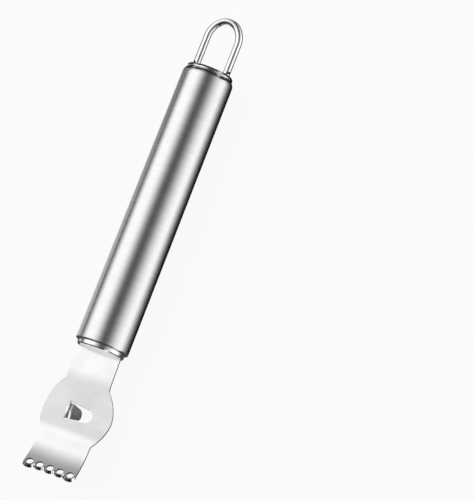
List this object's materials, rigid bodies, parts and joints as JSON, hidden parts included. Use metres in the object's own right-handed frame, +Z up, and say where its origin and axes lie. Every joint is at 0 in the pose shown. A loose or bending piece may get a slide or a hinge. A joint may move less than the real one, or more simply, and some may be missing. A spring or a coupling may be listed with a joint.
{
  "type": "citrus zester",
  "caption": "Hand zester: hollow round steel handle, wire hanging loop, one-piece bent blade with a channel knife and a curled lip of small sharp holes.",
  "frame": {"origin": "centre of the bounding box at its bottom, on the surface that the tool lies on", "axes": "+Y along the handle towards the hanging loop, the blade points to -Y, +Z up out of the blade's upper face, +X to the blade's right"},
  "size_m": [0.0292, 0.2022, 0.0226],
  "materials": {
    "brushed_handle": "satin, brushed round the handle",
    "polished_fittings": "polished",
    "polished_blade": "polished sheet with bright sheared edges"
  },
  "bodies": {
    "root": {"handle_tube": "brushed_handle", "front_plug": "polished_fittings", "rear_cap": "polished_fittings", "hanging_loop": "polished_fittings", "zester_blade": "polished_blade"}
  },
  "joints": []
}
